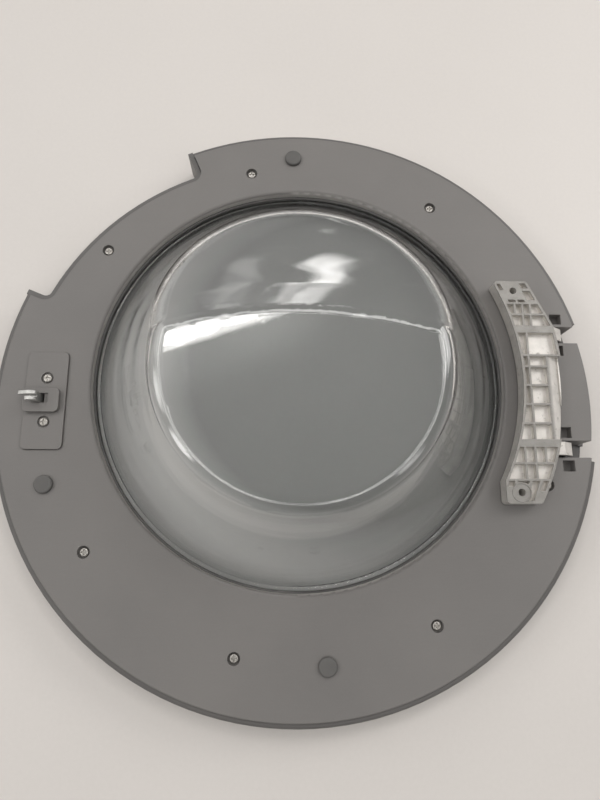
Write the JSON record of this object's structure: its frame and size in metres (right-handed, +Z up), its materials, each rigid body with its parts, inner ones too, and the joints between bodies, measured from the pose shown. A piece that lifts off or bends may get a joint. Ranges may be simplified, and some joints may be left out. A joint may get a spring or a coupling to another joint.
{
  "type": "washing machine door",
  "caption": "Round front-loader washing machine door lying face down: grey ring with a finger notch, scooped glass bowl, ribbed cast hinge bracket, latch hook and rubber bumpers.",
  "frame": {"origin": "centre of the outer ring, on the front face that the door lies on", "axes": "+Z up out of the drum side, +X towards the hinge, +Y towards the top of the door as it hangs on the machine"},
  "size_m": [0.48, 0.48, 0.096],
  "materials": {
    "rim_plastic": "dark grey moulded plastic with a satin skin",
    "grey_plastic": "mid grey moulded plastic with a fine matte grain",
    "smoked_window": "smoked clear window",
    "black_rubber": "black rubber seal",
    "clear_glass": "clear pressed glass",
    "cast_aluminium": "bare die cast, slightly rough, with dirt in the pockets",
    "dark_steel": "darkened steel",
    "bush_plastic": "black bearing plastic",
    "bright_steel": "bright plated steel",
    "spring_steel": "spring wire",
    "zinc_steel": "pale zinc plate",
    "grey_rubber": "grey rubber"
  },
  "bodies": {
    "door": {"outer_frame": "rim_plastic", "inner_frame": "grey_plastic", "front_window": "smoked_window", "glass_gasket": "black_rubber", "glass_bowl": "clear_glass", "hinge_cover": "grey_plastic", "hinge_pin_upper": "dark_steel", "hinge_pin_lower": "dark_steel", "latch_plate": "grey_plastic", "hook_pin": "dark_steel", "hook_spring": "spring_steel", "frame_screws": "zinc_steel", "latch_screws": "zinc_steel", "bumper_top": "grey_rubber", "bumper_left": "grey_rubber", "bumper_bottom": "grey_rubber"},
    "hinge": {"hinge_bracket": "cast_aluminium", "hinge_bush_upper": "bush_plastic", "hinge_bush_lower": "bush_plastic"},
    "hook": {"latch_hook": "bright_steel"}
  },
  "joints": [
    {"name": "hinge_swing", "type": "hinge", "parent": "door", "child": "hinge", "pos_m": [0.212, 0.00945, 0.027], "axis": [0, 1, 0], "range_deg": [0, 90]},
    {"name": "hook_tilt", "type": "hinge", "parent": "door", "child": "hook", "pos_m": [-0.204, -0.0009, 0.022], "axis": [0, 1, 0], "range_deg": [0, 8], "stiffness_Nm_per_rad": 0.2, "springref_deg": -17.19}
  ]
}
